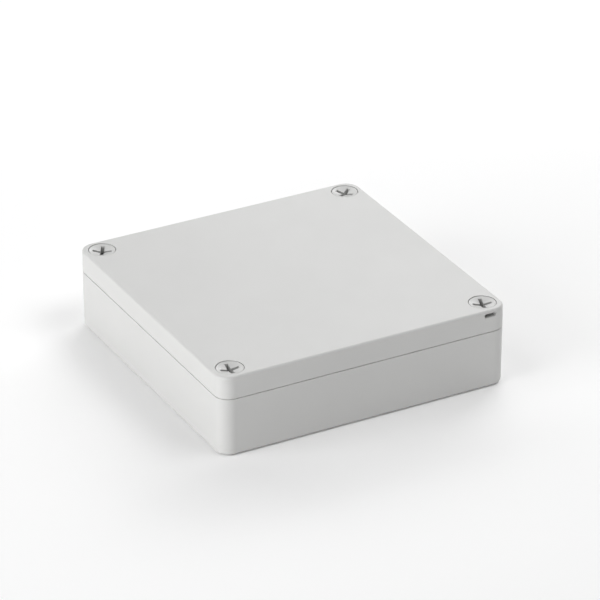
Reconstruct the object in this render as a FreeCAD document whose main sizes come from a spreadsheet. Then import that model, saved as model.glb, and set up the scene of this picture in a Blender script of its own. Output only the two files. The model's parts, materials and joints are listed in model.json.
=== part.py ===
"""Square plastic project box: a moulded base, a lid with a foam seal and four captive lid screws.

Lengths are in millimetres and angles in degrees. Z points up, the origin is the centre of the base's
underside, and the front of the box, with the lead-seal slot, faces -Y.
"""
import FreeCAD, Part
import math
import os
import Sketcher

# Driving sizes, each with the alias that the expressions use
SIZES = {
    # Outer form
    "box_width": 130.0,
    "box_depth": 130.0,
    "box_height": 35.4,
    "base_height": 25.5,
    "corner_radius": 6.2,
    "draft_angle": 0.2,
    "top_edge_radius": 1.0,
    "bottom_edge_size": 0.6,
    "rim_edge_size": 0.35,
    # Walls
    "wall_thickness": 3.0,
    "floor_thickness": 3.0,
    "lid_plate_thickness": 3.0,
    "room_corner_radius": 3.0,
    # Tongue on the base, groove and inner rib on the lid, foam seal between them
    "tongue_width": 1.4,
    "tongue_height": 2.0,
    "groove_clearance": 0.3,
    "groove_depth": 4.0,
    "seal_side_gap": 0.15,
    "rib_width": 1.3,
    # Lid screw and the hole it is held in
    "screw_inset": 7.75,
    "counterbore_diameter": 11.2,
    "head_sink": 0.4,
    "head_diameter": 10.8,
    "head_height": 4.0,
    "neck_diameter": 4.4,
    "lip_clearance": 0.3,
    "lip_thickness": 1.6,
    "thread_diameter": 6.2,
    "thread_length": 4.6,
    "thread_start_depth": 0.4,
    "thread_bore_clearance": 0.1,
    "thread_room_clearance": 0.5,
    # Cross recess in each screw head
    "recess_length": 7.0,
    "recess_width": 1.6,
    "recess_floor_length": 4.4,
    "recess_floor_width": 1.3,
    "recess_depth": 3.2,
    # Pillars that take the lid screws
    "pillar_diameter": 10.5,
    "bore_reserve": 1.5,
    "boss_wall": 1.6,
    # Wall-fixing holes in the corner wells
    "fixing_inset_along": 20.25,
    "fixing_inset_across": 7.0,
    "fixing_hole_diameter": 4.5,
    "fixing_head_room": 9.0,
    # Floor bosses for a board or a mounting plate
    "board_boss_inset_x": 15.0,
    "board_boss_inset_y": 25.0,
    "board_boss_diameter": 7.0,
    "board_boss_height": 5.0,
    "board_pilot_diameter": 3.2,
    "board_pilot_depth": 6.0,
    # Lead-seal slot in the lid's front face, under the right-hand screw and moved off it inwards
    "seal_slot_length": 5.6,
    "seal_slot_height": 1.85,
    "seal_slot_radius": 0.75,
    "seal_slot_drop": 2.5,
    "seal_slot_shift": 0.85,
    # How far each cross recess is turned
    "turn_front_left": 79.0,
    "turn_front_right": 68.0,
    "turn_back_left": 60.0,
    "turn_back_right": 35.0,
}

# Corner name: the side of the box along X and along Y
CORNERS = {
    "front_left": (-1, -1),
    "front_right": (1, -1),
    "back_left": (-1, 1),
    "back_right": (1, 1),
}

doc = FreeCAD.newDocument("ProjectBox")
sheet = doc.addObject("Spreadsheet::Sheet", "Sizes")


def fill_sheet():
    """Write every driving size beside its name, and give the cell that name as alias."""
    for row, (alias, number) in enumerate(SIZES.items(), start=1):
        sheet.set(f"A{row}", alias)
        sheet.set(f"B{row}", str(number))
        sheet.setAlias(f"B{row}", alias)
    doc.recompute()


fill_sheet()

# Places worked out from the driving sizes, as expressions
HALF_WIDTH = "Sizes.box_width / 2"
HALF_DEPTH = "Sizes.box_depth / 2"
LID_HEIGHT = "(Sizes.box_height - Sizes.base_height)"
ROOM_DEPTH = "(Sizes.base_height - Sizes.floor_thickness)"
LID_ROOM_DEPTH = f"({LID_HEIGHT} - Sizes.lid_plate_thickness)"

SCREW_X = f"({HALF_WIDTH} - Sizes.screw_inset)"
SCREW_Y = f"({HALF_DEPTH} - Sizes.screw_inset)"
HEAD_TOP = "(Sizes.box_height - Sizes.head_sink)"
HEAD_SEAT = f"({HEAD_TOP} - Sizes.head_height)"
THREAD_TOP = "(Sizes.base_height - Sizes.thread_start_depth)"
THREAD_END = f"({THREAD_TOP} - Sizes.thread_length)"

FIXING_X = f"({HALF_WIDTH} - Sizes.fixing_inset_along)"
FIXING_Y = f"({HALF_DEPTH} - Sizes.fixing_inset_across)"
BOARD_X = f"({HALF_WIDTH} - Sizes.board_boss_inset_x)"
BOARD_Y = f"({HALF_DEPTH} - Sizes.board_boss_inset_y)"

# The seal line runs along the middle of the tongue: beside the walls, and inside the corner wells
WALL_INSIDE_X = f"({HALF_WIDTH} - Sizes.wall_thickness)"
WALL_INSIDE_Y = f"({HALF_DEPTH} - Sizes.wall_thickness)"
WELL_INNER_X = f"({FIXING_X} - Sizes.fixing_head_room / 2)"
WELL_INNER_Y = f"({FIXING_Y} - Sizes.fixing_head_room / 2)"
TONGUE_TO_WELL = "(Sizes.wall_thickness - Sizes.tongue_width / 2)"
SEAL_X = f"({WALL_INSIDE_X} + Sizes.tongue_width / 2)"
SEAL_Y = f"({WALL_INSIDE_Y} + Sizes.tongue_width / 2)"
SEAL_NOTCH_X = f"({WELL_INNER_X} - {TONGUE_TO_WELL})"
SEAL_NOTCH_Y = f"({WELL_INNER_Y} - {TONGUE_TO_WELL})"

# Widths of what follows the seal line, each as half of its width
TONGUE_HALF = "Sizes.tongue_width / 2"
GROOVE_HALF = f"({TONGUE_HALF} + Sizes.groove_clearance)"
FOAM_HALF = f"({GROOVE_HALF} - Sizes.seal_side_gap)"
RIB_REACH = f"({GROOVE_HALF} + Sizes.rib_width)"
SEAL_BEND_RADIUS = f"(Sizes.room_corner_radius + {TONGUE_HALF})"


def value(expression):
    """The number that an expression over the sheet's cells gives now."""
    return float(sheet.evalExpression(expression))


def own_plane(body, role):
    """One of the three planes through a body's own origin."""
    return next(feature for feature in body.Origin.OriginFeatures if feature.Role == role)


def add_sketch(body, name, role, offset):
    """An empty sketch on one of the body's own planes, moved off along its normal."""
    sketch = body.newObject("Sketcher::SketchObject", name)
    sketch.AttachmentSupport = (own_plane(body, role), [""])
    sketch.MapMode = "FlatFace"
    sketch.setExpression("AttachmentOffset.Base.z", offset)
    return sketch


def bind(sketch, kinds_and_expressions):
    """Add dimensional constraints, each bound to its expression."""
    indices = sketch.addConstraint([constraint for constraint, _ in kinds_and_expressions])
    for index, (_, expression) in zip(indices, kinds_and_expressions):
        sketch.setExpression(f"Constraints[{index}]", expression)


def place_constraint(kind, geometry, point, expression):
    """A distance along one axis from the sketch's origin, which is never a negative number."""
    number = value(expression)
    if number > 0:
        return Sketcher.Constraint(kind, -1, 1, geometry, point, number), expression
    return Sketcher.Constraint(kind, geometry, point, -1, 1, -number), f"-({expression})"


def add_outline(sketch, sides, radii):
    """A closed outline of straight sides, in turn along the sketch's X and Y, with rounded corners.

    sides holds the place of each side, starting with one along X, so its Y. radii holds the radius of
    the corner after each side, or None for a sharp one.
    """
    count = len(sides)
    numbers = [value(side) for side in sides]
    corners = []
    for i in range(count):
        here, after = numbers[i], numbers[(i + 1) % count]
        corners.append((after, here) if i % 2 == 0 else (here, after))
    first = sketch.GeometryCount
    starts, ends, bends = [], [], []
    for i, (x, y) in enumerate(corners):
        before, after = corners[i - 1], corners[(i + 1) % count]
        arriving = direction(before, (x, y))
        leaving = direction((x, y), after)
        radius = value(radii[i]) if radii[i] else 0.0
        ends.append((x - radius * arriving[0], y - radius * arriving[1]))
        starts.append((x + radius * leaving[0], y + radius * leaving[1]))
        centre = (ends[i][0] + radius * leaving[0], ends[i][1] + radius * leaving[1])
        bends.append((centre, radius, arriving[0] * leaving[1] - arriving[1] * leaving[0] > 0))
    lines = [
        Part.LineSegment(FreeCAD.Vector(*starts[i - 1], 0), FreeCAD.Vector(*ends[i], 0))
        for i in range(count)
    ]
    sketch.addGeometry(lines, False)
    joins, sizes = [], []
    for i in range(count):
        line, following = first + i, first + (i + 1) % count
        along_x = i % 2 == 0
        joins.append(Sketcher.Constraint("Horizontal" if along_x else "Vertical", line))
        if abs(numbers[i]) < 1e-9:
            joins.append(Sketcher.Constraint("PointOnObject", line, 1, -1 if along_x else -2))
        else:
            kind = "DistanceY" if along_x else "DistanceX"
            sizes.append(place_constraint(kind, line, 1, sides[i]))
        if not radii[i]:
            joins.append(Sketcher.Constraint("Coincident", line, 2, following, 1))
            continue
        centre, radius, turns_left = bends[i]
        first_point, last_point = (ends[i], starts[i]) if turns_left else (starts[i], ends[i])
        begin = math.atan2(first_point[1] - centre[1], first_point[0] - centre[0])
        circle = Part.Circle(FreeCAD.Vector(*centre, 0), FreeCAD.Vector(0, 0, 1), radius)
        arc = sketch.addGeometry(Part.ArcOfCircle(circle, begin, begin + math.pi / 2), False)
        arc_in, arc_out = (1, 2) if turns_left else (2, 1)
        joins.append(Sketcher.Constraint("Tangent", line, 2, arc, arc_in))
        joins.append(Sketcher.Constraint("Tangent", arc, arc_out, following, 1))
        sizes.append((Sketcher.Constraint("Radius", arc, radius), radii[i]))
    sketch.addConstraint(joins)
    bind(sketch, sizes)


def direction(start, end):
    """The unit step from one corner of an outline to the next."""
    length = math.hypot(end[0] - start[0], end[1] - start[1])
    return (end[0] - start[0]) / length, (end[1] - start[1]) / length


def add_box_outline(sketch, x_low, x_high, y_low, y_high, radius):
    """A rectangle between two places along each axis, with rounded corners or sharp ones."""
    add_outline(sketch, [y_low, x_high, y_high, x_low], [radius] * 4)


def add_seal_outline(sketch, offset):
    """The seal line moved outwards by an offset: a square with a rounded notch at every corner."""
    far_x, far_y = f"({SEAL_X} + {offset})", f"({SEAL_Y} + {offset})"
    near_x, near_y = f"({SEAL_NOTCH_X} + {offset})", f"({SEAL_NOTCH_Y} + {offset})"
    outer_bend = f"({SEAL_BEND_RADIUS} + {offset})"
    inner_bend = f"({SEAL_BEND_RADIUS} - ({offset}))"
    sides = [
        f"-{far_y}", near_x, f"-{near_y}", far_x, near_y, near_x,
        far_y, f"-{near_x}", near_y, f"-{far_x}", f"-{near_y}", f"-{near_x}",
    ]
    add_outline(sketch, sides, [outer_bend, inner_bend, outer_bend] * 4)


def add_circles(sketch, x, y, diameter):
    """The same circle at all four corners of the box."""
    for side_x, side_y in CORNERS.values():
        centre = FreeCAD.Vector(side_x * value(x), side_y * value(y), 0)
        circle = Part.Circle(centre, FreeCAD.Vector(0, 0, 1), value(diameter) / 2)
        index = sketch.addGeometry(circle, False)
        bind(sketch, [
            place_constraint("DistanceX", index, 3, x if side_x > 0 else f"-{x}"),
            place_constraint("DistanceY", index, 3, y if side_y > 0 else f"-{y}"),
            (Sketcher.Constraint("Diameter", index, value(diameter)), diameter),
        ])


def extrude(body, kind, name, sketch, length, downwards=False, draft=None):
    """A pad or a pocket of a sketch, which has to add or remove material."""
    before = body.Shape.Volume if body.Tip else 0.0
    feature = body.newObject(f"PartDesign::{kind}", name)
    feature.Profile = sketch
    feature.Reversed = downwards if kind == "Pad" else not downwards
    feature.setExpression("Length", length)
    if draft:
        feature.setExpression("TaperAngle", draft)
    doc.recompute()
    grown = body.Shape.Volume - before
    if (grown > 0) != (kind == "Pad"):
        raise RuntimeError(f"{name} changed the volume of {body.Label} by {grown:.3f}")
    return feature


def soften(body, kind, name, size, chosen):
    """Round or chamfer every edge of the body that a test picks out."""
    feature = body.Tip
    names = [f"Edge{i}" for i, edge in enumerate(feature.Shape.Edges, start=1) if chosen(edge)]
    if not names:
        raise RuntimeError(f"{name} found no edge on {body.Label}")
    softened = body.newObject(f"PartDesign::{kind}", name)
    softened.Base = (feature, names)
    softened.setExpression("Radius" if kind == "Fillet" else "Size", size)
    doc.recompute()
    return softened


def flat_at(height):
    """A test for edges that lie level at a height."""
    level = value(height)
    return lambda edge: all(abs(z - level) < 1e-4 for z in (edge.BoundBox.ZMin, edge.BoundBox.ZMax))


def on_outside(height):
    """A test for level edges at a height that belong to the box's outer face."""
    level = flat_at(height)
    half_width, half_depth = value(HALF_WIDTH), value(HALF_DEPTH)
    corner_x = half_width - value("Sizes.corner_radius")
    corner_y = half_depth - value("Sizes.corner_radius")

    def touches(point):
        on_side = abs(abs(point.x) - half_width) < 1e-3 and abs(point.y) < corner_y + 1e-3
        on_front = abs(abs(point.y) - half_depth) < 1e-3 and abs(point.x) < corner_x + 1e-3
        return on_side or on_front

    return lambda edge: level(edge) and all(touches(vertex.Point) for vertex in edge.Vertexes)


def new_body(label):
    """An empty body whose label names its file."""
    body = doc.addObject("PartDesign::Body", label)
    body.Label = label
    return body


def add_shell(body, downwards, length):
    """The outer block of one half of the box, narrowing away from the parting plane."""
    outline = add_sketch(body, f"{body.Label}_outline", "XY_Plane", "Sizes.base_height")
    add_box_outline(
        outline, f"-({HALF_WIDTH})", HALF_WIDTH, f"-({HALF_DEPTH})", HALF_DEPTH, "Sizes.corner_radius"
    )
    extrude(body, "Pad", f"{body.Label}_block", outline, length, downwards, "-Sizes.draft_angle")


def add_wells(body, name, reach, downwards, depth):
    """The wells over the wall-fixing holes, outside the seal line, which reach towards the screws."""
    sketch = add_sketch(body, f"{name}_outline", "XY_Plane", "Sizes.base_height")
    for side_x, side_y in CORNERS.values():
        x_places = [WELL_INNER_X, reach] if side_x > 0 else [f"-{reach}", f"-{WELL_INNER_X}"]
        y_places = [WELL_INNER_Y, WALL_INSIDE_Y]
        if side_y < 0:
            y_places = [f"-{WALL_INSIDE_Y}", f"-{WELL_INNER_Y}"]
        add_box_outline(sketch, *x_places, *y_places, None)
    extrude(body, "Pocket", name, sketch, depth, downwards)


def make_base():
    """Tray with corner wells, screw pillars, floor bosses and the seal's tongue round its rim."""
    body = new_body("base")
    add_shell(body, True, "Sizes.base_height")
    soften(body, "Chamfer", "bottom_edge", "Sizes.bottom_edge_size", flat_at("0"))

    room = add_sketch(body, "room_outline", "XY_Plane", "Sizes.base_height")
    add_seal_outline(room, f"-({TONGUE_HALF})")
    extrude(body, "Pocket", "room", room, ROOM_DEPTH, True)

    add_wells(body, "wells", SCREW_X, True, ROOM_DEPTH)

    pillars = add_sketch(body, "pillar_outline", "XY_Plane", "Sizes.floor_thickness")
    add_circles(pillars, SCREW_X, SCREW_Y, "Sizes.pillar_diameter")
    extrude(body, "Pad", "pillars", pillars, ROOM_DEPTH)

    bosses = add_sketch(body, "board_boss_outline", "XY_Plane", "Sizes.floor_thickness")
    add_circles(bosses, BOARD_X, BOARD_Y, "Sizes.board_boss_diameter")
    extrude(body, "Pad", "board_bosses", bosses, "Sizes.board_boss_height")

    tongue = add_sketch(body, "tongue_outline", "XY_Plane", "Sizes.base_height")
    add_seal_outline(tongue, TONGUE_HALF)
    add_seal_outline(tongue, f"-({TONGUE_HALF})")
    extrude(body, "Pad", "tongue", tongue, "Sizes.tongue_height")
    soften(body, "Chamfer", "base_rim_edge", "Sizes.rim_edge_size", on_outside("Sizes.base_height"))

    bores = add_sketch(body, "screw_bore_outline", "XY_Plane", "Sizes.base_height")
    add_circles(bores, SCREW_X, SCREW_Y, "(Sizes.thread_diameter + 2 * Sizes.thread_bore_clearance)")
    bore_depth = f"Sizes.base_height - {THREAD_END} + Sizes.bore_reserve"
    extrude(body, "Pocket", "screw_bores", bores, bore_depth, True)

    holes = add_sketch(body, "fixing_hole_outline", "XY_Plane", "Sizes.floor_thickness")
    add_circles(holes, FIXING_X, FIXING_Y, "Sizes.fixing_hole_diameter")
    extrude(body, "Pocket", "fixing_holes", holes, "Sizes.floor_thickness", True)

    pilots = add_sketch(
        body, "board_pilot_outline", "XY_Plane", "Sizes.floor_thickness + Sizes.board_boss_height"
    )
    add_circles(pilots, BOARD_X, BOARD_Y, "Sizes.board_pilot_diameter")
    extrude(body, "Pocket", "board_pilots", pilots, "Sizes.board_pilot_depth", True)
    return body


def make_lid():
    """Cover with the seal's groove inside its skirt, stepped screw holes and the lead-seal slot."""
    body = new_body("lid")
    add_shell(body, False, LID_HEIGHT)
    soften(body, "Fillet", "top_edge", "Sizes.top_edge_radius", flat_at("Sizes.box_height"))

    room = add_sketch(body, "lid_room_outline", "XY_Plane", "Sizes.base_height")
    add_seal_outline(room, f"-{RIB_REACH}")
    extrude(body, "Pocket", "lid_room", room, LID_ROOM_DEPTH)

    groove = add_sketch(body, "groove_outline", "XY_Plane", "Sizes.base_height")
    add_seal_outline(groove, GROOVE_HALF)
    add_seal_outline(groove, f"-{GROOVE_HALF}")
    extrude(body, "Pocket", "groove", groove, "Sizes.groove_depth")

    boss_side = f"({SCREW_X} - Sizes.counterbore_diameter / 2 - Sizes.boss_wall)"
    add_wells(body, "lid_wells", boss_side, False, LID_ROOM_DEPTH)

    thread_rooms = add_sketch(body, "thread_room_outline", "XY_Plane", "Sizes.base_height")
    room_diameter = "(Sizes.thread_diameter + 2 * Sizes.thread_room_clearance)"
    add_circles(thread_rooms, SCREW_X, SCREW_Y, room_diameter)
    thread_room_depth = f"{HEAD_SEAT} - Sizes.lip_thickness - Sizes.base_height"
    extrude(body, "Pocket", "thread_rooms", thread_rooms, thread_room_depth)

    lips = add_sketch(body, "lip_hole_outline", "XY_Plane", "Sizes.box_height")
    add_circles(lips, SCREW_X, SCREW_Y, "(Sizes.neck_diameter + 2 * Sizes.lip_clearance)")
    extrude(body, "Pocket", "lip_holes", lips, LID_HEIGHT, True)

    counterbores = add_sketch(body, "counterbore_outline", "XY_Plane", "Sizes.box_height")
    add_circles(counterbores, SCREW_X, SCREW_Y, "Sizes.counterbore_diameter")
    extrude(body, "Pocket", "counterbores", counterbores, f"Sizes.box_height - {HEAD_SEAT}", True)

    slot = add_sketch(body, "seal_slot_outline", "XZ_Plane", HALF_DEPTH)
    slot_x = f"({SCREW_X} - Sizes.seal_slot_shift)"
    slot_z = "(Sizes.box_height - Sizes.seal_slot_drop)"
    add_box_outline(
        slot,
        f"({slot_x} - Sizes.seal_slot_length / 2)", f"({slot_x} + Sizes.seal_slot_length / 2)",
        f"({slot_z} - Sizes.seal_slot_height / 2)", f"({slot_z} + Sizes.seal_slot_height / 2)",
        "Sizes.seal_slot_radius",
    )
    extrude(body, "Pocket", "seal_slot", slot, "Sizes.screw_inset - Sizes.counterbore_diameter / 4", True)
    soften(body, "Chamfer", "lid_rim_edge", "Sizes.rim_edge_size", on_outside("Sizes.base_height"))
    return body


def make_seal():
    """One closed ring of foam that fills the groove above the tongue."""
    body = new_body("seal")
    outline = add_sketch(body, "seal_outline", "XY_Plane", "Sizes.base_height + Sizes.tongue_height")
    add_seal_outline(outline, FOAM_HALF)
    add_seal_outline(outline, f"-{FOAM_HALF}")
    extrude(body, "Pad", "foam", outline, "Sizes.groove_depth - Sizes.tongue_height")
    return body


def add_wing_pair(body, name, turn):
    """One straight slot of the cross recess, narrowing in length and width towards its floor."""
    before = body.Shape.Volume
    wings = body.newObject("PartDesign::SubtractiveWedge", name)
    downwards = FreeCAD.Rotation(FreeCAD.Vector(1, 0, 0), -90)
    turned = FreeCAD.Rotation(FreeCAD.Vector(0, 0, 1), turn)
    wings.AttachmentSupport = (own_plane(body, "XY_Plane"), [""])
    wings.MapMode = "FlatFace"
    wings.AttachmentOffset = FreeCAD.Placement(FreeCAD.Vector(), turned * downwards)
    wings.setExpression("AttachmentOffset.Base.z", HEAD_TOP)
    for side, sign in (("min", "-"), ("max", "")):
        wings.setExpression(f"X{side}", f"{sign}Sizes.recess_length / 2")
        wings.setExpression(f"Z{side}", f"{sign}Sizes.recess_width / 2")
        wings.setExpression(f"X2{side}", f"{sign}Sizes.recess_floor_length / 2")
        wings.setExpression(f"Z2{side}", f"{sign}Sizes.recess_floor_width / 2")
    wings.Ymin = 0
    wings.setExpression("Ymax", "Sizes.recess_depth")
    doc.recompute()
    if body.Shape.Volume >= before:
        raise RuntimeError(f"{name} cut nothing")


def make_screw(corner):
    """Moulded screw: drum head with a cross recess, thin neck, and a short coarse thread."""
    side_x, side_y = CORNERS[corner]
    body = new_body(f"lid_screw_{corner}")
    profile = add_sketch(body, f"screw_profile_{corner}", "XZ_Plane", "0")
    sides = [
        THREAD_END, "Sizes.thread_diameter / 2", THREAD_TOP, "Sizes.neck_diameter / 2",
        HEAD_SEAT, "Sizes.head_diameter / 2", HEAD_TOP, "0",
    ]
    add_outline(profile, sides, [None] * len(sides))
    turned = body.newObject("PartDesign::Revolution", f"screw_form_{corner}")
    turned.Profile = profile
    turned.ReferenceAxis = (profile, ["V_Axis"])
    turned.Angle = 360.0
    doc.recompute()
    add_wing_pair(body, f"recess_across_{corner}", 0)
    add_wing_pair(body, f"recess_along_{corner}", 90)

    body.Placement = FreeCAD.Placement(FreeCAD.Vector(), FreeCAD.Rotation(FreeCAD.Vector(0, 0, 1), 0))
    body.setExpression("Placement.Base.x", SCREW_X if side_x > 0 else f"-{SCREW_X}")
    body.setExpression("Placement.Base.y", SCREW_Y if side_y > 0 else f"-{SCREW_Y}")
    body.setExpression("Placement.Rotation.Angle", f"Sizes.turn_{corner}")
    return body


def write_steps(bodies):
    """Check every object and every finished shape, then write one file for each body."""
    doc.recompute()
    failed = [item.Label for item in doc.Objects if {"Invalid", "Error"} & set(item.State)]
    if failed:
        raise RuntimeError(f"not built: {failed}")
    for body in bodies:
        if body.Shape.isNull() or not body.Shape.isValid() or len(body.Shape.Solids) != 1:
            raise RuntimeError(f"{body.Label} is not one valid solid")
    os.makedirs("parts", exist_ok=True)
    for body in bodies:
        body.Shape.exportStep(f"parts/{body.Label}.step")
        print(f"{body.Label}: {body.Shape.Volume:.1f} mm3")


write_steps([make_base(), make_lid(), make_seal()] + [make_screw(corner) for corner in CORNERS])
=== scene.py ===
"""Looks of a square plastic project box: its mouldings, foam seal and captive lid screws, in a small studio.

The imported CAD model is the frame. Every modelled piece replaces one CAD node and rides on that node's body.
Sizes in the settings are lengths in metres.
"""
import json
import math

import bmesh
import bpy
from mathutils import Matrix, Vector

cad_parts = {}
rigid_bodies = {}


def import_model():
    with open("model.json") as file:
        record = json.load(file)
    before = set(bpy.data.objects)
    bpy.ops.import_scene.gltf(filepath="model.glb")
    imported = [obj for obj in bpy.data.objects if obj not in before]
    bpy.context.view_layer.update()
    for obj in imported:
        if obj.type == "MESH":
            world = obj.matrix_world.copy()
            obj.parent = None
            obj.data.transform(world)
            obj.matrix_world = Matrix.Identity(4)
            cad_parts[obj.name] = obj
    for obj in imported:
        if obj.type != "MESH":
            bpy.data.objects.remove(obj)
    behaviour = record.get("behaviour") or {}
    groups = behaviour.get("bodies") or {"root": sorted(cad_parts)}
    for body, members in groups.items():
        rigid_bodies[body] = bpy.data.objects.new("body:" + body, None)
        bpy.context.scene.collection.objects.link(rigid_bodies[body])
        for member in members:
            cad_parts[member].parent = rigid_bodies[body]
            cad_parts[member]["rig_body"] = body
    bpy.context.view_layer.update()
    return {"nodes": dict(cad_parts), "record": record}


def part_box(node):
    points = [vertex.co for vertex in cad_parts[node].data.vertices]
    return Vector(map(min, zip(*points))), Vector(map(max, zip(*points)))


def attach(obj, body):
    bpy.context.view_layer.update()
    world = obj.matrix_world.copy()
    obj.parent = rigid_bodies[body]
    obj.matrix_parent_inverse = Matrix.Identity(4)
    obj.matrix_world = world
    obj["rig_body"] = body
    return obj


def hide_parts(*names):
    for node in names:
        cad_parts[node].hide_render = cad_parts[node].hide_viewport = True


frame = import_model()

bl_info = {
    "name": "Project Box",
    "version": (1, 0, 0),
    "blender": (4, 5, 0),
    "location": "3D View > Sidebar > Project Box",
    "description": "Models and finishes the pieces of a moulded project box and its studio",
    "category": "Object",
}

# Two places closer than this, in metres, count as the same
SAME_PLACE = 1e-7
# How far a cutting tool reaches past the surface that it opens, in metres
OVERCUT = 0.001
# Edges flatter than this are dissolved
FLAT_ANGLE = math.radians(0.1)
# Edges sharper than this get a small radius
SHARP_ANGLE = math.radians(40)
# Edges flatter than this are shaded smooth
SMOOTH_ANGLE = math.radians(35)
# Each softbox: azimuth from the front and elevation in degrees, width and height in metres, power in watts
SOFTBOXES = {
    "card_front_left": (-65, 7, 1.1, 0.3, 7.6),
    "card_left": (-90, 7, 1.1, 0.3, 3.0),
    "card_right": (90, 7, 1.1, 0.3, 2.4),
    "softbox_left": (-90, 30, 0.9, 0.5, 4.2),
    "softbox_back": (180, 30, 0.9, 0.5, 3.2),
    "softbox_back_right": (135, 30, 0.9, 0.5, 6.9),
    "softbox_high_left": (-90, 57, 0.9, 0.6, 2.9),
    "softbox_high_right": (45, 57, 0.9, 0.6, 6.2),
    "softbox_high_back": (135, 57, 0.9, 0.6, 2.0),
}
# Distance of every softbox from the middle of the box's foot, in metres
SOFTBOX_DISTANCE = 1.3
SLOT_COLOURS = {entry["slot"]: tuple(entry["base_color"]) for entry in frame["record"]["materials"]}
CORNERS = {
    "front_left": (-1, -1),
    "front_right": (1, -1),
    "back_left": (-1, 1),
    "back_right": (1, 1),
}


def length(name, description, default):
    """A length setting in metres."""
    return bpy.props.FloatProperty(
        name=name, description=description, default=default, min=0.0, precision=5,
        subtype="DISTANCE", unit="LENGTH",
    )


def angle(name, description, degrees):
    """An angle setting, given in degrees."""
    return bpy.props.FloatProperty(
        name=name, description=description, default=math.radians(degrees), subtype="ANGLE", unit="ROTATION"
    )


def colour(name, description, default):
    """A colour setting."""
    return bpy.props.FloatVectorProperty(
        name=name, description=description, default=default[:3], size=3, min=0.0, max=1.0, subtype="COLOR"
    )


class HousingSettings(bpy.types.PropertyGroup):
    """Sizes that the base and the lid share."""

    corner_radius: length("Corner radius", "Radius of the box's upright corners", 0.0062)
    top_edge_radius: length("Top edge radius", "Radius round the lid's top", 0.001)
    foot_edge_radius: length("Foot edge radius", "Radius round the base's underside", 0.0018)
    rim_edge_radius: length("Rim edge radius", "Radius of both rims along the parting line", 0.00018)
    slit_height: length("Slit height", "Height of the thin gap between the two rims", 0.00028)
    slit_depth: length("Slit depth", "Depth of the thin gap between the two rims", 0.00045)
    small_edge_radius: length("Small edge radius", "Largest radius of the other moulded edges", 0.00022)
    floor_edge_radius: length("Floor edge radius", "Radius where the inner walls meet the floor", 0.001)
    draft: angle("Draft", "Taper of the outer walls away from the parting line", 0.2)
    wall: length("Wall", "Thickness of the walls and of the floor", 0.003)
    tongue_width: length("Tongue width", "Width of the seal's tongue on the base's rim", 0.0014)
    tongue_height: length("Tongue height", "Height of the tongue over the parting line", 0.002)
    groove_clearance: length("Groove clearance", "Play beside the tongue in the lid's groove", 0.0003)
    groove_depth: length("Groove depth", "Depth of the lid's groove", 0.004)
    rib_width: length("Rib width", "Width of the lid's rib inside the groove", 0.0013)
    bend_radius: length("Bend radius", "Radius of the seal line's bends at its middle", 0.0037)
    colour: colour("Colour", "Light grey of the moulded plastic", SLOT_COLOURS["housing"])
    roughness: bpy.props.FloatProperty(
        name="Roughness", description="Roughness of the moulded surface", default=0.46, min=0.0, max=1.0,
        subtype="FACTOR",
    )


class ScrewSettings(bpy.types.PropertyGroup):
    """Sizes of the lid screws and of the holes that hold them."""

    inset: length("Inset", "Distance of the screws from the box's sides", 0.00775)
    counterbore_diameter: length("Counterbore diameter", "Hole round the head", 0.0116)
    head_diameter: length("Head diameter", "Width of the drum head", 0.0111)
    head_height: length("Head height", "Height of the drum head", 0.004)
    head_sink: length("Head sink", "How far the head lies under the lid's top", 0.00015)
    head_edge_radius: length("Head edge radius", "Radius round the head's top", 0.0002)
    dish_depth: length("Dish depth", "Depth of the wide dish that leads a driver to the recess", 0.0013)
    neck_diameter: length("Neck diameter", "Thin neck under the head", 0.0044)
    lip_hole_diameter: length("Lip hole diameter", "Hole in the lid that the neck passes", 0.005)
    lip_thickness: length("Lip thickness", "Thickness of the lip under the head", 0.0016)
    thread_diameter: length("Thread diameter", "Width over the thread", 0.0062)
    thread_core: length("Thread core", "Width of the core under the thread", 0.0047)
    thread_length: length("Thread length", "Length of the thread", 0.0046)
    thread_pitch: length("Thread pitch", "Rise of the thread for each turn", 0.002)
    thread_start: length("Thread start", "Depth of the thread's upper end under the parting line", 0.0004)
    thread_room_diameter: length("Thread room", "Hole in the lid that the thread rises into", 0.0072)
    bore_diameter: length("Bore diameter", "Hole in the pillar", 0.0064)
    bore_reserve: length("Bore reserve", "Depth of the bore under the screw's end", 0.0015)
    pillar_diameter: length("Pillar diameter", "Width of the pillars that take the screws", 0.0105)
    recess_length: length("Recess length", "Length of the cross recess at the head's top", 0.008)
    recess_width: length("Recess width", "Width of the recess's wings at the head's top", 0.0016)
    recess_floor_length: length("Recess floor length", "Length of the recess at its floor", 0.0072)
    recess_floor_width: length("Recess floor width", "Width of the wings at their floor", 0.00145)
    recess_depth: length("Recess depth", "Depth of the cross recess", 0.0035)
    small_edge_radius: length("Small edge radius", "Largest radius of the screws' small edges", 0.00008)
    turn_front_left: angle("Front left turn", "Turn of the front left screw's recess", 84)
    turn_front_right: angle("Front right turn", "Turn of the front right screw's recess", 75)
    turn_back_left: angle("Back left turn", "Turn of the back left screw's recess", 60)
    turn_back_right: angle("Back right turn", "Turn of the back right screw's recess", 35)
    colour: colour("Colour", "Light grey of the moulded screws", SLOT_COLOURS["screw_plastic"])


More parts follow.
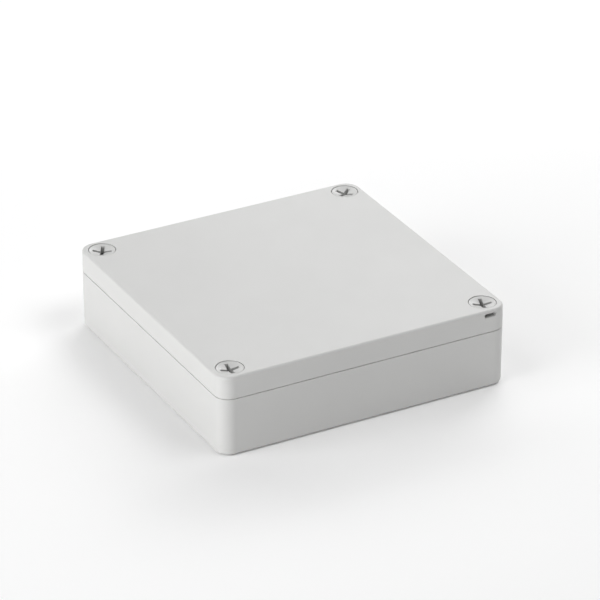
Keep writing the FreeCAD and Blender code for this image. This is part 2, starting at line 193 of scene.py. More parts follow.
class InteriorSettings(bpy.types.PropertyGroup):
    """Places of the wells, the fixing holes, the board bosses and the lead-seal slot."""

    fixing_inset_along: length("Fixing inset along X", "Fixing holes from the left and right sides", 0.02025)
    fixing_inset_across: length("Fixing inset along Y", "Fixing holes from the front and back", 0.007)
    fixing_hole_diameter: length("Fixing hole diameter", "Hole through the floor of each well", 0.0045)
    fixing_head_room: length("Fixing head room", "Width kept for a fixing screw's head", 0.009)
    well_corner_radius: length("Well corner radius", "Radius in the wells' upright corners", 0.001)
    lid_well_width: length("Lid well width", "Width of the wells in the lid", 0.0098)
    board_inset_x: length("Boss inset along X", "Board bosses from the left and right sides", 0.015)
    board_inset_y: length("Boss inset along Y", "Board bosses from the front and back", 0.025)
    board_boss_diameter: length("Boss diameter", "Width of the board bosses", 0.007)
    board_boss_height: length("Boss height", "Height of the board bosses over the floor", 0.005)
    board_pilot_diameter: length("Pilot diameter", "Pilot hole in each board boss", 0.0032)
    board_pilot_depth: length("Pilot depth", "Depth of the pilot holes", 0.006)
    slot_length: length("Slot length", "Length of the lead-seal slot", 0.0056)
    slot_height: length("Slot height", "Height of the lead-seal slot", 0.00185)
    slot_radius: length("Slot radius", "Corner radius of the lead-seal slot", 0.00075)
    slot_drop: length("Slot drop", "Middle of the slot under the lid's top", 0.0022)
    slot_shift: length("Slot shift", "How far the slot lies inwards of the screw's axis", 0.0006)
    foam_colour: colour("Foam colour", "Dark grey of the foam seal", SLOT_COLOURS["seal_foam"])
    foam_gap: length("Foam gap", "Gap beside the foam in its groove", 0.00015)
    foam_edge_radius: length("Foam edge radius", "Radius along the foam's underside", 0.0005)


class StudioSettings(bpy.types.PropertyGroup):
    """Camera, floor and lights."""

    camera_azimuth: angle("Camera azimuth", "Side from which the camera looks", -28.351)
    camera_elevation: angle("Camera elevation", "Height angle of the camera", 27.881)
    camera_distance: length("Camera distance", "Distance of the camera from the box", 1.5807)
    camera_right: length("Camera right", "Sideways step of the camera", 0.0042)
    camera_up: length("Camera up", "Upward step of the camera", 0.02129)
    lens: bpy.props.FloatProperty(
        name="Lens", description="Focal length over a 36 mm sensor, in millimetres", default=230.12, min=1.0
    )
    floor_colour: colour("Floor colour", "White of the studio floor", (0.97, 0.97, 0.97))
    light: bpy.props.FloatProperty(
        name="Light", description="Strength of all softboxes together", default=1.03, min=0.0
    )


GROUPS = {
    "box_housing": HousingSettings,
    "box_screws": ScrewSettings,
    "box_interior": InteriorSettings,
    "box_studio": StudioSettings,
}


def deselect_all():
    """Leave edit mode and let go of everything."""
    if bpy.context.object and bpy.context.object.mode != "OBJECT":
        bpy.ops.object.mode_set(mode="OBJECT")
    bpy.ops.object.select_all(action="DESELECT")


def select_only(piece):
    """Make a piece the only one selected, and the active one."""
    deselect_all()
    piece.select_set(True)
    bpy.context.view_layer.objects.active = piece


def take_up(piece):
    """Go into edit mode on a piece."""
    select_only(piece)
    bpy.ops.object.mode_set(mode="EDIT")


def put_down(piece):
    """Leave edit mode and give the piece back."""
    bpy.ops.object.mode_set(mode="OBJECT")
    return piece


def pick(kind, test):
    """Select the vertices, edges or faces of the edited piece that pass a test."""
    bpy.ops.mesh.select_mode(type=kind)
    bpy.ops.mesh.select_all(action="DESELECT")
    mesh = bmesh.from_edit_mesh(bpy.context.object.data)
    items = {"VERT": mesh.verts, "EDGE": mesh.edges, "FACE": mesh.faces}[kind]
    chosen = [item for item in items if test(item)]
    if not chosen:
        raise RuntimeError(f"nothing to select on {bpy.context.object.name}")
    for item in chosen:
        item.select_set(True)
    mesh.select_flush_mode()
    bmesh.update_edit_mesh(bpy.context.object.data)


def lies_at(level):
    """A test for edges or faces that lie flat at a level."""
    return lambda item: all(abs(vertex.co.z - level) < SAME_PLACE for vertex in item.verts)


def scale_selected(x, y, centre):
    """Scale what is selected sideways about a point."""
    bpy.ops.transform.resize(value=(x, y, 1.0), center_override=centre)


def raise_selected(height):
    """Extrude the selected faces upwards, or downwards for a negative height."""
    bpy.ops.mesh.extrude_region_move(TRANSFORM_OT_translate={"value": (0.0, 0.0, height)})


def tidy_mesh():
    """Merge doubles and point every face outwards."""
    bpy.ops.mesh.select_all(action="SELECT")
    bpy.ops.mesh.remove_doubles(threshold=SAME_PLACE)
    bpy.ops.mesh.normals_make_consistent(inside=False)


def add_plate(name, x_low, x_high, y_low, y_high, level, radius=0.0, segments=1):
    """A flat rectangle at a level, with rounded corners where a radius is given."""
    deselect_all()
    middle = ((x_low + x_high) / 2, (y_low + y_high) / 2, level)
    bpy.ops.mesh.primitive_plane_add(size=1.0, location=middle)
    piece = bpy.context.object
    piece.name = name
    bpy.ops.object.transform_apply(location=True)
    take_up(piece)
    bpy.ops.mesh.select_all(action="SELECT")
    scale_selected(x_high - x_low, y_high - y_low, middle)
    if radius:
        bpy.ops.mesh.bevel(offset=radius, segments=segments, affect="VERTICES")
    return put_down(piece)


def add_block(name, x_low, x_high, y_low, y_high, z_low, z_high, radius, segments):
    """An upright block with rounded corners."""
    piece = add_plate(name, x_low, x_high, y_low, y_high, z_low, radius, segments)
    take_up(piece)
    bpy.ops.mesh.select_all(action="SELECT")
    raise_selected(z_high - z_low)
    tidy_mesh()
    return put_down(piece)


def add_seal_prism(name, seal, offset, z_low, z_high, segments=10):
    """A prism whose outline is the seal line moved outwards by an offset, with its notched corners."""
    far, near, bend = seal
    deselect_all()
    bpy.ops.mesh.primitive_grid_add(x_subdivisions=3, y_subdivisions=3, size=2.0, location=(0.0, 0.0, z_low))
    piece = bpy.context.object
    piece.name = name
    bpy.ops.object.transform_apply(location=True)
    take_up(piece)
    centre = (0.0, 0.0, z_low)
    for axis in range(2):
        for inner in (True, False):
            pick("VERT", lambda v: (abs(v.co[axis]) < 0.5) == inner and (abs(v.co[axis]) > 0.2))
            # The inner vertices of the grid start at a third and the outer ones at one
            reach = (near[axis] + offset) * 3 if inner else far[axis] + offset
            x, y = (reach, 1.0) if axis == 0 else (1.0, reach)
            scale_selected(x, y, centre)
    notch_x, notch_y = near[0] + offset, near[1] + offset

    def in_corner(face):
        middle = face.calc_center_median()
        return abs(middle.x) > notch_x and abs(middle.y) > notch_y

    pick("FACE", in_corner)
    bpy.ops.mesh.delete(type="FACE")
    bpy.ops.mesh.select_all(action="SELECT")
    bpy.ops.mesh.dissolve_faces()

    def stands_at(places):
        near_by = 20 * SAME_PLACE
        return lambda v: any(abs(abs(v.co.x) - x) + abs(abs(v.co.y) - y) < near_by for x, y in places)

    pick("VERT", stands_at([(notch_x, notch_y)]))
    bpy.ops.mesh.bevel(offset=bend - offset, segments=segments, affect="VERTICES")
    pick("VERT", stands_at([(far[0] + offset, notch_y), (notch_x, far[1] + offset)]))
    bpy.ops.mesh.bevel(offset=bend + offset, segments=segments, affect="VERTICES")
    bpy.ops.mesh.select_all(action="SELECT")
    raise_selected(z_high - z_low)
    tidy_mesh()
    return put_down(piece)


def add_turned(name, x, y, rings, segments):
    """A closed turned form on an upright axis, through rings given as radius and height from below."""
    deselect_all()
    radius, level = rings[0]
    bpy.ops.mesh.primitive_circle_add(
        vertices=segments, radius=radius, fill_type="NGON", location=(x, y, level)
    )
    piece = bpy.context.object
    piece.name = name
    bpy.ops.object.transform_apply(location=True)
    take_up(piece)
    bpy.ops.mesh.select_all(action="SELECT")
    for next_radius, next_level in rings[1:]:
        raise_selected(next_level - level)
        if next_radius != radius:
            scale = next_radius / radius
            scale_selected(scale, scale, (x, y, next_level))
        radius, level = next_radius, next_level
    tidy_mesh()
    return put_down(piece)


def add_drum(name, place, radius, low, high, segments=48):
    """A closed upright cylinder between two levels."""
    return add_turned(name, place[0], place[1], [(radius, low), (radius, high)], segments)


def combine(piece, tool, operation):
    """Cut a tool out of a piece or join it on, and throw the tool away."""
    modifier = piece.modifiers.new(tool.name, "BOOLEAN")
    modifier.operation = operation
    modifier.solver = "EXACT"
    modifier.object = tool
    select_only(piece)
    bpy.ops.object.modifier_apply(modifier=modifier.name)
    bpy.data.objects.remove(tool, do_unlink=True)
    return piece


def combine_drums(piece, operation, name, places, radius, low, high, segments=48):
    """Cut out or join on a cylinder at each of the places."""
    for place in places:
        combine(piece, add_drum(name, place, radius, low, high, segments), operation)


def add_seal_ring(name, plan, half_width, low, high):
    """A closed ring along the seal line, between two levels."""
    ring = add_seal_prism(name, plan.seal, half_width, low, high)
    hollow = add_seal_prism("hollow", plan.seal, -half_width, low - OVERCUT, high + OVERCUT)
    return combine(ring, hollow, "DIFFERENCE")


def cut_room(piece, plan, offset, low, high, floor):
    """Hollow out half a box inside the seal line, with a radius round the room's floor."""
    room = add_seal_prism("room", plan.seal, offset, low, high)
    take_up(room)
    pick("EDGE", lies_at(floor))
    bpy.ops.mesh.bevel(offset=plan.housing.floor_edge_radius, segments=4, affect="EDGES")
    put_down(room)
    combine(piece, room, "DIFFERENCE")


def cut_wells(piece, plan, far_x, low, high):
    """Cut the four corner wells between two levels."""
    corner_radius = plan.interior.well_corner_radius
    for side_x, side_y in CORNERS.values():
        x_low, x_high = well_span(plan, side_x, 0, far_x)
        y_low, y_high = well_span(plan, side_y, 1, plan.wall_inside[1])
        well = add_block("well", x_low, x_high, y_low, y_high, low, high, corner_radius, 5)
        combine(piece, well, "DIFFERENCE")


def round_small_edges(piece, radius, steps=3):
    """Take off every sharp edge left on a moulding, and shade the piece.

    The shortest edge of the mesh limits the radius, so that no face turns over.
    """
    take_up(piece)
    bpy.ops.mesh.select_all(action="SELECT")
    bpy.ops.mesh.remove_doubles(threshold=10 * SAME_PLACE)
    bpy.ops.mesh.dissolve_limited(angle_limit=FLAT_ANGLE)
    put_down(piece)
    bevel = piece.modifiers.new("small_edges", "BEVEL")
    bevel.width = radius
    bevel.segments = steps
    bevel.limit_method = "ANGLE"
    bevel.angle_limit = SHARP_ANGLE
    bevel.miter_outer = "MITER_ARC"
    bevel.use_clamp_overlap = True
    bpy.ops.object.modifier_apply(modifier=bevel.name)
    finish_shading(piece)


def finish_shading(piece):
    """Smooth shading that keeps flat faces flat."""
    select_only(piece)
    bpy.ops.object.shade_smooth_by_angle(angle=SMOOTH_ANGLE)
    weights = piece.modifiers.new("flat_faces", "WEIGHTED_NORMAL")
    weights.keep_sharp = True
    bpy.ops.object.modifier_apply(modifier=weights.name)


def hand_over(piece, node, material):
    """Name a piece after a CAD node, and let it stand for that node."""
    piece.name = f"{node}_moulding"
    piece.data.name = piece.name
    piece.data.materials.clear()
    piece.data.materials.append(material)
    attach(piece, frame["nodes"][node]["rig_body"])
    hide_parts(node)


class BoxPlan:
    """Main places of the box, from the frame and the settings."""

    def __init__(self, scene):
        self.housing = scene.box_housing
        self.screws = scene.box_screws
        self.interior = scene.box_interior
        low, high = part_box("lid")
        base_low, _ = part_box("base")
        self.half = (high.x, high.y)
        self.foot = base_low.z
        self.parting = low.z
        self.top = high.z
        housing, interior = self.housing, self.interior
        self.wall_inside = (self.half[0] - housing.wall, self.half[1] - housing.wall)
        fixing_insets = (interior.fixing_inset_along, interior.fixing_inset_across)
        self.fixing = tuple(place - inset for place, inset in zip(self.half, fixing_insets))
        self.well = tuple(place - interior.fixing_head_room / 2 for place in self.fixing)
        past_wall = housing.tongue_width / 2
        near = tuple(place - housing.wall + past_wall for place in self.well)
        far = tuple(place + past_wall for place in self.wall_inside)
        self.seal = (far, near, housing.bend_radius)
        self.tongue_half = past_wall
        self.groove_half = past_wall + housing.groove_clearance
        self.screw = tuple(place - self.screws.inset for place in self.half)
        self.board = (self.half[0] - interior.board_inset_x, self.half[1] - interior.board_inset_y)
        self.floor = self.foot + housing.wall
        self.ceiling = self.top - housing.wall
        self.head_top = self.top - self.screws.head_sink
        self.head_seat = self.head_top - self.screws.head_height
        self.thread_top = self.parting - self.screws.thread_start
        self.thread_end = self.thread_top - self.screws.thread_length

    def at_corners(self, place):
        """The same place at the four corners."""
        return [(side_x * place[0], side_y * place[1]) for side_x, side_y in CORNERS.values()]


def add_outer_block(name, plan, far_level, edge_radius, steps):
    """The outer form of half a box, from its rim at the parting line to its drafted, rounded far end.

    The rim stands back by half the slit round the outside, and the land inside it meets the other half.
    """
    housing = plan.housing
    half_x, half_y = plan.half
    land = plan.parting
    level = land + math.copysign(housing.slit_height / 2, far_level - land)
    piece = add_plate(name, -half_x, half_x, -half_y, half_y, level, housing.corner_radius, 16)
    take_up(piece)
    bpy.ops.mesh.select_all(action="SELECT")
    raise_selected(far_level - level)
    inwards = abs(far_level - level) * math.tan(housing.draft)
    scale_selected((half_x - inwards) / half_x, (half_y - inwards) / half_y, (0.0, 0.0, far_level))
    tidy_mesh()
    pick("EDGE", lies_at(far_level))
    bpy.ops.mesh.bevel(offset=edge_radius, segments=steps, affect="EDGES")
    pick("EDGE", lies_at(level))
    bpy.ops.mesh.bevel(offset=housing.rim_edge_radius, segments=3, affect="EDGES")
    pick("FACE", lies_at(level))
    bpy.ops.mesh.inset(thickness=housing.slit_depth - housing.rim_edge_radius)
    raise_selected(land - level)
    tidy_mesh()
    return put_down(piece)


def well_span(plan, side, axis, far_end):
    """Low and high place of a well along one axis."""
    ends = (plan.well[axis], far_end)
    return (ends[0], ends[1]) if side > 0 else (-ends[1], -ends[0])


class BOX_OT_mould_base(bpy.types.Operator):
    """Model the base: tray, corner wells, screw pillars, floor bosses and the seal's tongue"""

    bl_idname = "project_box.mould_base"
    bl_label = "Mould Base"

    def execute(self, context):
        plan = BoxPlan(context.scene)
        housing, screws, interior = plan.housing, plan.screws, plan.interior
        screw_places = plan.at_corners(plan.screw)
        board_places = plan.at_corners(plan.board)
        under_floor, over_floor = plan.floor - OVERCUT, plan.floor + OVERCUT
        over_rim = plan.parting + OVERCUT
        base = add_outer_block("base_moulding", plan, plan.foot, housing.foot_edge_radius, 4)
        cut_room(base, plan, -plan.tongue_half, plan.floor, over_rim, plan.floor)
        cut_wells(base, plan, plan.screw[0], plan.floor, over_rim)
        pillar_radius = screws.pillar_diameter / 2
        combine_drums(base, "UNION", "pillar", screw_places, pillar_radius, under_floor, plan.parting, 64)
        boss_top = plan.floor + interior.board_boss_height
        boss_radius = interior.board_boss_diameter / 2
        combine_drums(base, "UNION", "boss", board_places, boss_radius, under_floor, boss_top)
        tongue_low, tongue_top = plan.parting - OVERCUT, plan.parting + housing.tongue_height
        combine(base, add_seal_ring("tongue", plan, plan.tongue_half, tongue_low, tongue_top), "UNION")
        bore_radius = screws.bore_diameter / 2
        bore_end = plan.thread_end - screws.bore_reserve
        combine_drums(base, "DIFFERENCE", "bore", screw_places, bore_radius, bore_end, over_rim)
        hole_radius = interior.fixing_hole_diameter / 2
        hole_places = plan.at_corners(plan.fixing)
        hole_low = plan.foot - OVERCUT
        combine_drums(base, "DIFFERENCE", "hole", hole_places, hole_radius, hole_low, over_floor, 40)
        pilot_radius = interior.board_pilot_diameter / 2
        pilot_end = boss_top - interior.board_pilot_depth
        pilot_top = boss_top + OVERCUT
        combine_drums(base, "DIFFERENCE", "pilot", board_places, pilot_radius, pilot_end, pilot_top, 32)
        round_small_edges(base, housing.small_edge_radius)
        hand_over(base, "base", moulded_plastic(context.scene))
        return {"FINISHED"}


class BOX_OT_mould_lid(bpy.types.Operator):
    """Model the lid: plate, skirt, seal groove, wells, stepped screw holes and the lead-seal slot"""

    bl_idname = "project_box.mould_lid"
    bl_label = "Mould Lid"

    def execute(self, context):
        plan = BoxPlan(context.scene)
        housing, screws, interior = plan.housing, plan.screws, plan.interior
        under_rim, over_top = plan.parting - OVERCUT, plan.top + OVERCUT
        lid = add_outer_block("lid_moulding", plan, plan.top, housing.top_edge_radius, 6)
        rib_reach = plan.groove_half + housing.rib_width
        cut_room(lid, plan, -rib_reach, under_rim, plan.ceiling, plan.ceiling)
        groove_top = plan.parting + housing.groove_depth
        groove = add_seal_ring("groove", plan, plan.groove_half, under_rim, groove_top)
        combine(lid, groove, "DIFFERENCE")
        cut_wells(lid, plan, plan.well[0] + interior.lid_well_width, under_rim, plan.ceiling)
        lip_low = plan.head_seat - screws.lip_thickness
        # Name, diameter, lower and upper end and segments of the three steps of each screw hole
        steps = (
            ("thread_room", screws.thread_room_diameter, under_rim, lip_low, 56),
            ("lip_hole", screws.lip_hole_diameter, lip_low - OVERCUT, plan.head_seat + OVERCUT, 48),
            ("counterbore", screws.counterbore_diameter, plan.head_seat, over_top, 72),
        )
        for place in plan.at_corners(plan.screw):
            for name, diameter, low, high, segments in steps:
                combine_drums(lid, "DIFFERENCE", name, [place], diameter / 2, low, high, segments)
        combine(lid, self.add_slot(plan), "DIFFERENCE")
        round_small_edges(lid, housing.small_edge_radius)
        hand_over(lid, "lid", moulded_plastic(context.scene))
        return {"FINISHED"}

    def add_slot(self, plan):
        """The rounded bar that cuts the lead-seal slot through the front wall."""
        interior = plan.interior
        middle_z = plan.top - interior.slot_drop
        middle_x = plan.screw[0] - interior.slot_shift
        # The bar starts outside the front face and ends within the counterbore
        reach = plan.screws.inset - plan.screws.counterbore_diameter / 4
        middle_y = -plan.half[1] + (reach - OVERCUT) / 2
        deselect_all()
        bpy.ops.mesh.primitive_cube_add(size=1.0, location=(middle_x, middle_y, middle_z))
        slot = bpy.context.object
        slot.name = "slot"
        slot.scale = (interior.slot_length, reach + OVERCUT, interior.slot_height)
        bpy.ops.object.transform_apply(location=True, rotation=True, scale=True)
        take_up(slot)
        pick("EDGE", lambda edge: abs((edge.verts[0].co - edge.verts[1].co).y) > SAME_PLACE)
        bpy.ops.mesh.bevel(offset=interior.slot_radius, segments=6, affect="EDGES")
        return put_down(slot)


class BOX_OT_lay_seal(bpy.types.Operator):
    """Model the foam seal: one closed bead in the lid's groove with a rounded underside"""

    bl_idname = "project_box.lay_seal"
    bl_label = "Lay Seal"

    def execute(self, context):
        plan = BoxPlan(context.scene)
        housing = plan.housing
        low = plan.parting + housing.tongue_height
        high = plan.parting + housing.groove_depth
        foam_half = plan.groove_half - plan.interior.foam_gap
        seal = add_seal_ring("seal_moulding", plan, foam_half, low, high)
        take_up(seal)
        bpy.ops.mesh.select_all(action="SELECT")
        bpy.ops.mesh.dissolve_limited(angle_limit=FLAT_ANGLE)
        is_low = lies_at(low)
        pick("EDGE", lambda edge: is_low(edge) and edge.calc_face_angle(0) > SMOOTH_ANGLE)
        bpy.ops.mesh.bevel(offset=plan.interior.foam_edge_radius, segments=4, affect="EDGES")
        put_down(seal)
        finish_shading(seal)
        hand_over(seal, "seal", sealing_foam(context.scene))
        return {"FINISHED"}


class BOX_OT_turn_screws(bpy.types.Operator):
    """Model one lid screw with its cross recess and thread, and copy it to the four corners"""

    bl_idname = "project_box.turn_screws"
    bl_label = "Turn Lid Screws"

    def execute(self, context):
        plan = BoxPlan(context.scene)
        screws = plan.screws
        pattern = self.add_screw(plan)
        material = screw_plastic(context.scene)
        for corner, (side_x, side_y) in CORNERS.items():
            select_only(pattern)
            bpy.ops.object.duplicate(linked=False)
            screw = bpy.context.object
            screw.rotation_euler.z = getattr(screws, f"turn_{corner}")
            screw.location = (side_x * plan.screw[0], side_y * plan.screw[1], 0.0)
            bpy.ops.object.transform_apply(location=True, rotation=True, scale=True)
            hand_over(screw, f"lid_screw_{corner}", material)
        bpy.data.objects.remove(pattern, do_unlink=True)
        return {"FINISHED"}

    def add_screw(self, plan):
        """One screw on the box's own Z axis, with its recess lined up with X and Y."""
        screws = plan.screws
        neck, core = screws.neck_diameter / 2, screws.thread_core / 2
        head, edge = screws.head_diameter / 2, screws.head_edge_radius
        point, seat_bevel, dish_middle = core * 0.2, 0.0002, 0.0003
        rings = [(core - point, plan.thread_end), (core, plan.thread_end + point)]
        rings.append((core, plan.thread_top))
        rings += [(neck, plan.thread_top + (core - neck)), (neck, plan.head_seat - seat_bevel)]
        rings += [(neck + seat_bevel, plan.head_seat), (head - seat_bevel, plan.head_seat)]
        rings.append((head, plan.head_seat + seat_bevel))
        edge_steps = 4
        for step in range(edge_steps + 1):
            lean = math.pi / 2 * step / edge_steps
            out, rise = edge * math.cos(lean), edge * math.sin(lean)
            rings.append((head - edge + out, plan.head_top - edge + rise))
        rings.append((dish_middle, plan.head_top - screws.dish_depth))
        screw = add_turned("screw_pattern", 0.0, 0.0, rings, 72)
        combine(screw, self.add_thread(plan), "UNION")
        combine(screw, self.add_recess(plan), "DIFFERENCE")
        round_small_edges(screw, screws.small_edge_radius, 2)
        return screw

    def add_thread(self, plan):
        """The thread as one tooth carried round the axis, closed at both ends."""
        screws = plan.screws
        # Half the height of the tooth at its foot and at its tip, and how far its foot lies in the core
        foot, tip, sunk = 0.00055, 0.0002, 0.0003
        inner, crest = screws.thread_core / 2 - sunk, screws.thread_diameter / 2
        turns = (screws.thread_length - 2 * foot) / screws.thread_pitch
        middle = plan.thread_end + foot
        deselect_all()
        bpy.ops.mesh.primitive_plane_add(size=1.0, location=(0.0, 0.0, 0.0))
        thread = bpy.context.object
        thread.name = "thread"
        take_up(thread)
        mesh = bmesh.from_edit_mesh(thread.data)
        places = [(inner, -foot), (crest, -tip), (crest, tip), (inner, foot)]
        ordered = sorted(mesh.verts, key=lambda v: math.atan2(v.co.y, v.co.x))
        for vertex, (radius, rise) in zip(ordered, places):
            vertex.co = Vector((radius, 0.0, middle + rise))
        bmesh.update_edit_mesh(thread.data)
        bpy.ops.mesh.select_all(action="SELECT")
        bpy.ops.mesh.delete(type="ONLY_FACE")
        put_down(thread)
        winding = thread.modifiers.new("winding", "SCREW")
        winding.axis = "Z"
        winding.angle = math.tau * turns
        winding.screw_offset = screws.thread_pitch * turns
        steps_per_turn = 40
        winding.steps = int(steps_per_turn * turns)
        winding.render_steps = winding.steps
        bpy.ops.object.modifier_apply(modifier=winding.name)
        take_up(thread)
        bpy.ops.mesh.select_mode(type="EDGE")
        bpy.ops.mesh.select_all(action="DESELECT")
        bpy.ops.mesh.select_non_manifold()
        bpy.ops.mesh.fill_holes(sides=8)
        tidy_mesh()
        return put_down(thread)

    def add_recess(self, plan):
        """The cutter for the cross recess: two crossed wedges that narrow towards their floor."""
        screws = plan.screws
        over = 0.0002
        top, floor = plan.head_top + over, plan.head_top - screws.recess_depth
        slope_long = (screws.recess_length - screws.recess_floor_length) / screws.recess_depth
        slope_wide = (screws.recess_width - screws.recess_floor_width) / screws.recess_depth
        top_size = (screws.recess_length + slope_long * over, screws.recess_width + slope_wide * over)
        floor_size = (screws.recess_floor_length, screws.recess_floor_width)
        wings = []
        for order in (1, -1):
            x, y = top_size[::order]
            x_floor, y_floor = floor_size[::order]
            wing = add_plate("wing", -x / 2, x / 2, -y / 2, y / 2, top)
            take_up(wing)
            bpy.ops.mesh.select_all(action="SELECT")
            raise_selected(floor - top)
            scale_selected(x_floor / x, y_floor / y, (0.0, 0.0, floor))
            tidy_mesh()
            wings.append(put_down(wing))
        combine(wings[0], wings[1], "UNION")
        hub_radius, hub_drop = screws.recess_width * 0.62, 0.0004
        hub = add_drum("hub", (0.0, 0.0), hub_radius, floor - hub_drop, top, 32)
        return combine(wings[0], hub, "UNION")


def new_material(name):
    """A material with its shader, its node tree and a texture coordinate node."""
    material = bpy.data.materials.new(name)
    material.use_nodes = True
    tree = material.node_tree
    shader = tree.nodes["Principled BSDF"]
    place = tree.nodes.new("ShaderNodeTexCoord")
    return material, tree, shader, place


def add_noise(tree, place, scale, detail=2.0, roughness=0.5):
    """A noise texture over the object's own coordinates."""
    noise = tree.nodes.new("ShaderNodeTexNoise")
    noise.inputs["Scale"].default_value = scale
    noise.inputs["Detail"].default_value = detail
    noise.inputs["Roughness"].default_value = roughness
    tree.links.new(place.outputs["Object"], noise.inputs["Vector"])
    return noise


def add_bump(tree, height, strength, distance, below=None):
    """A bump from a height, on top of another bump."""
    bump = tree.nodes.new("ShaderNodeBump")
    bump.inputs["Strength"].default_value = strength
    bump.inputs["Distance"].default_value = distance
    tree.links.new(height, bump.inputs["Height"])
    if below:
        tree.links.new(below.outputs["Normal"], bump.inputs["Normal"])
    return bump


def add_ramp(tree, value, low, high, low_at=0.3, high_at=0.7):
    """A blend between two colours driven by a value."""
    ramp = tree.nodes.new("ShaderNodeValToRGB")
    ramp.color_ramp.elements[0].position = low_at
    ramp.color_ramp.elements[0].color = (*low, 1.0)
    ramp.color_ramp.elements[1].position = high_at
    ramp.color_ramp.elements[1].color = (*high, 1.0)
    tree.links.new(value, ramp.inputs["Fac"])
    return ramp


def shade(base, factor):
    """A colour made a little lighter or darker."""
    return tuple(min(1.0, part * factor) for part in base)


def moulded_plastic(scene):
    """Light grey plastic with the fine eroded grain of its mould, one material for base and lid."""
    settings = scene.box_housing
    if "moulded_plastic" in bpy.data.materials:
        return bpy.data.materials["moulded_plastic"]
    material, tree, shader, place = new_material("moulded_plastic")
    base = settings.colour
    clouds = add_noise(tree, place, 22.0, 3.0)
    tint = add_ramp(tree, clouds.outputs["Fac"], shade(base, 0.955), shade(base, 0.982))
    tree.links.new(tint.outputs["Color"], shader.inputs["Base Color"])
    gloss = add_noise(tree, place, 160.0, 2.0)
    gloss_range = tree.nodes.new("ShaderNodeMapRange")
    gloss_range.inputs["To Min"].default_value = settings.roughness - 0.03
    gloss_range.inputs["To Max"].default_value = settings.roughness + 0.05
    tree.links.new(gloss.outputs["Fac"], gloss_range.inputs["Value"])
    tree.links.new(gloss_range.outputs["Result"], shader.inputs["Roughness"])
    flow = add_noise(tree, place, 28.0, 1.0)
    grain = add_noise(tree, place, 4200.0, 2.0, 0.6)
    waviness = add_bump(tree, flow.outputs["Fac"], 0.25, 0.00012)
    grained = add_bump(tree, grain.outputs["Fac"], 0.35, 0.00002, waviness)
    tree.links.new(grained.outputs["Normal"], shader.inputs["Normal"])
    return material


def screw_plastic(scene):
    """Smoother grey plastic of the lid screws."""
    material, tree, shader, place = new_material("screw_plastic")
    base = scene.box_screws.colour
    clouds = add_noise(tree, place, 300.0, 2.0)
    tint = add_ramp(tree, clouds.outputs["Fac"], shade(base, 0.975), shade(base, 1.015))
    tree.links.new(tint.outputs["Color"], shader.inputs["Base Color"])
    shader.inputs["Roughness"].default_value = 0.38
    grain = add_noise(tree, place, 5200.0, 2.0, 0.55)
    grained = add_bump(tree, grain.outputs["Fac"], 0.25, 0.000015)
    tree.links.new(grained.outputs["Normal"], shader.inputs["Normal"])
    return material


def sealing_foam(scene):
    """Dark closed foam with fine pores."""
    material, tree, shader, place = new_material("sealing_foam")
    base = scene.box_interior.foam_colour
    pores = tree.nodes.new("ShaderNodeTexVoronoi")
    pores.inputs["Scale"].default_value = 2600.0
    tree.links.new(place.outputs["Object"], pores.inputs["Vector"])
    tint = add_ramp(tree, pores.outputs["Distance"], shade(base, 0.55), shade(base, 1.25), 0.1, 0.6)
    tree.links.new(tint.outputs["Color"], shader.inputs["Base Color"])
    shader.inputs["Roughness"].default_value = 0.88
    pitted = add_bump(tree, pores.outputs["Distance"], 0.6, 0.0001)
    tree.links.new(pitted.outputs["Normal"], shader.inputs["Normal"])
    return material


def studio_white(scene):
    """Matt white of the studio floor."""
    material, tree, shader, place = new_material("studio_white")
    base = scene.box_studio.floor_colour
    clouds = add_noise(tree, place, 3.0, 2.0)
    tint = add_ramp(tree, clouds.outputs["Fac"], shade(base, 0.995), shade(base, 1.0))
    tree.links.new(tint.outputs["Color"], shader.inputs["Base Color"])
    shader.inputs["Roughness"].default_value = 0.95
    shader.inputs["Specular IOR Level"].default_value = 0.0
    return material


def away_from_box(turn, lift):
    """The direction from the box towards an azimuth, seen from the front, and an elevation."""
    return Vector((math.sin(turn) * math.cos(lift), -math.cos(turn) * math.cos(lift), math.sin(lift)))


def add_softbox(name, azimuth, elevation, width, height, power, level):
    """A soft light that looks at the box from an azimuth and an elevation, in degrees."""
    turn, lift = math.radians(azimuth), math.radians(elevation)
    place = away_from_box(turn, lift) * SOFTBOX_DISTANCE
    bpy.ops.object.light_add(type="AREA", location=place, rotation=(math.pi / 2 - lift, 0.0, turn))
    light = bpy.context.object
    light.name = name
    light.data.shape = "RECTANGLE"
    light.data.size = width
    light.data.size_y = height
    light.data.energy = power * level


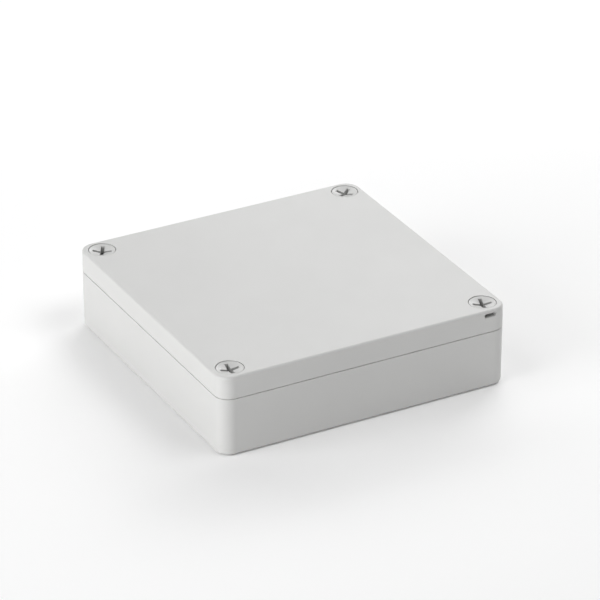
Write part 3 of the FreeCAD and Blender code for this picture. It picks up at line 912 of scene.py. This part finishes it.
class BOX_OT_set_stage(bpy.types.Operator):
    """Build the white floor, the soft lights and the camera"""

    bl_idname = "project_box.set_stage"
    bl_label = "Set Stage"

    def execute(self, context):
        scene = context.scene
        studio = scene.box_studio
        deselect_all()
        bpy.ops.mesh.primitive_plane_add(size=8.0, location=(0.0, 0.0, 0.0))
        floor = context.object
        floor.name = "studio_floor"
        floor.data.materials.append(studio_white(scene))
        world = bpy.data.worlds.new("studio_air")
        world.use_nodes = True
        world.node_tree.nodes["Background"].inputs["Strength"].default_value = 0.0
        scene.world = world
        for name, place in SOFTBOXES.items():
            add_softbox(name, *place, studio.light)
        turn, lift = studio.camera_azimuth, studio.camera_elevation
        right = Vector((math.cos(turn), math.sin(turn), 0.0))
        back = away_from_box(turn, lift)
        up = back.cross(right)
        place = back * studio.camera_distance + right * studio.camera_right + up * studio.camera_up
        bpy.ops.object.camera_add(location=place, rotation=(math.pi / 2 - lift, 0.0, turn))
        camera = context.object
        camera.name = "photo_camera"
        camera.data.lens = studio.lens
        camera.data.sensor_width = 36.0
        camera.data.clip_end = 20.0
        scene.camera = camera
        scene.view_settings.view_transform = "Standard"
        return {"FINISHED"}


OPERATORS = (BOX_OT_mould_base, BOX_OT_mould_lid, BOX_OT_lay_seal, BOX_OT_turn_screws, BOX_OT_set_stage)


class BOX_PT_pieces(bpy.types.Panel):
    """Buttons and settings of the project box"""

    bl_idname = "BOX_PT_pieces"
    bl_label = "Project Box"
    bl_space_type = "VIEW_3D"
    bl_region_type = "UI"
    bl_category = "Project Box"

    def draw(self, context):
        for operator in OPERATORS:
            self.layout.operator(operator.bl_idname)
        for group_name, group in GROUPS.items():
            column = self.layout.column(align=True)
            for setting in group.__annotations__:
                column.prop(getattr(context.scene, group_name), setting)


CLASSES = (*GROUPS.values(), *OPERATORS, BOX_PT_pieces)


def register():
    for cls in CLASSES:
        bpy.utils.register_class(cls)
    for group_name, group in GROUPS.items():
        setattr(bpy.types.Scene, group_name, bpy.props.PointerProperty(type=group))


def unregister():
    for group_name in GROUPS:
        delattr(bpy.types.Scene, group_name)
    for cls in reversed(CLASSES):
        bpy.utils.unregister_class(cls)


def main():
    """Register the add-on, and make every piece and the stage."""
    register()
    bpy.ops.project_box.mould_base()
    bpy.ops.project_box.mould_lid()
    bpy.ops.project_box.lay_seal()
    bpy.ops.project_box.turn_screws()
    bpy.ops.project_box.set_stage()


if __name__ == "__main__":
    main()
